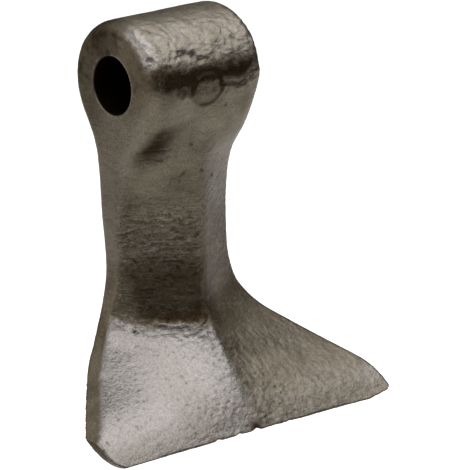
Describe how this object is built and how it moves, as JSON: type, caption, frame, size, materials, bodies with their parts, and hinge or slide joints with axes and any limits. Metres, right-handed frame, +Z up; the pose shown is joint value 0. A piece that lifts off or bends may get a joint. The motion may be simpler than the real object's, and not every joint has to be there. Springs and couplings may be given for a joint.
{
  "type": "mulcher hammer blade",
  "caption": "Forged steel hammer blade for a mulcher rotor: a round pivot eye, a ridged shank and a flared blade bent forward to a straight cutting edge.",
  "frame": {"origin": "middle of the pivot bore", "axes": "+X along the pivot bore, -Y to the front, towards which the blade is bent, +Z up from the cutting edge to the eye"},
  "size_m": [0.1262, 0.0696, 0.1402],
  "materials": {
    "forged_steel": "dark forged scale, worn bright on the raised places, semi-gloss"
  },
  "bodies": {
    "root": {"hammer_blade": "forged_steel"}
  },
  "joints": []
}
